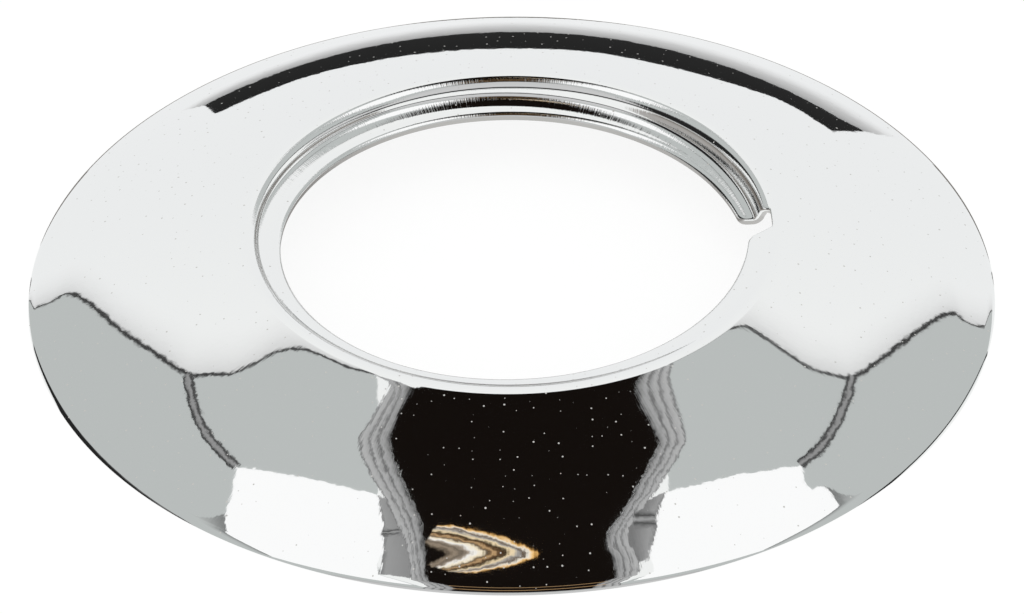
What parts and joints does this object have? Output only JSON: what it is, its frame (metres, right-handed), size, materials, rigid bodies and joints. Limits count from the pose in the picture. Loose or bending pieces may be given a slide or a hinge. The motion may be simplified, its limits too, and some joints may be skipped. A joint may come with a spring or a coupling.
{
  "type": "threaded pipe rosette",
  "caption": "Round domed cover pressed from thin chromed sheet, with a slit helical lip in its hole that screws onto a male pipe thread.",
  "frame": {"origin": "centre of the cut rim, on the wall plane", "axes": "+Z along the pipe, away from the wall; +X towards the slit in the lip, -Y towards the camera of the picture"},
  "size_m": [0.051, 0.051, 0.0044],
  "materials": {
    "chrome": "polished chrome plate on pressed sheet, with fine draw marks in the hole's collar"
  },
  "bodies": {
    "root": {"rosette": "chrome"}
  },
  "joints": []
}
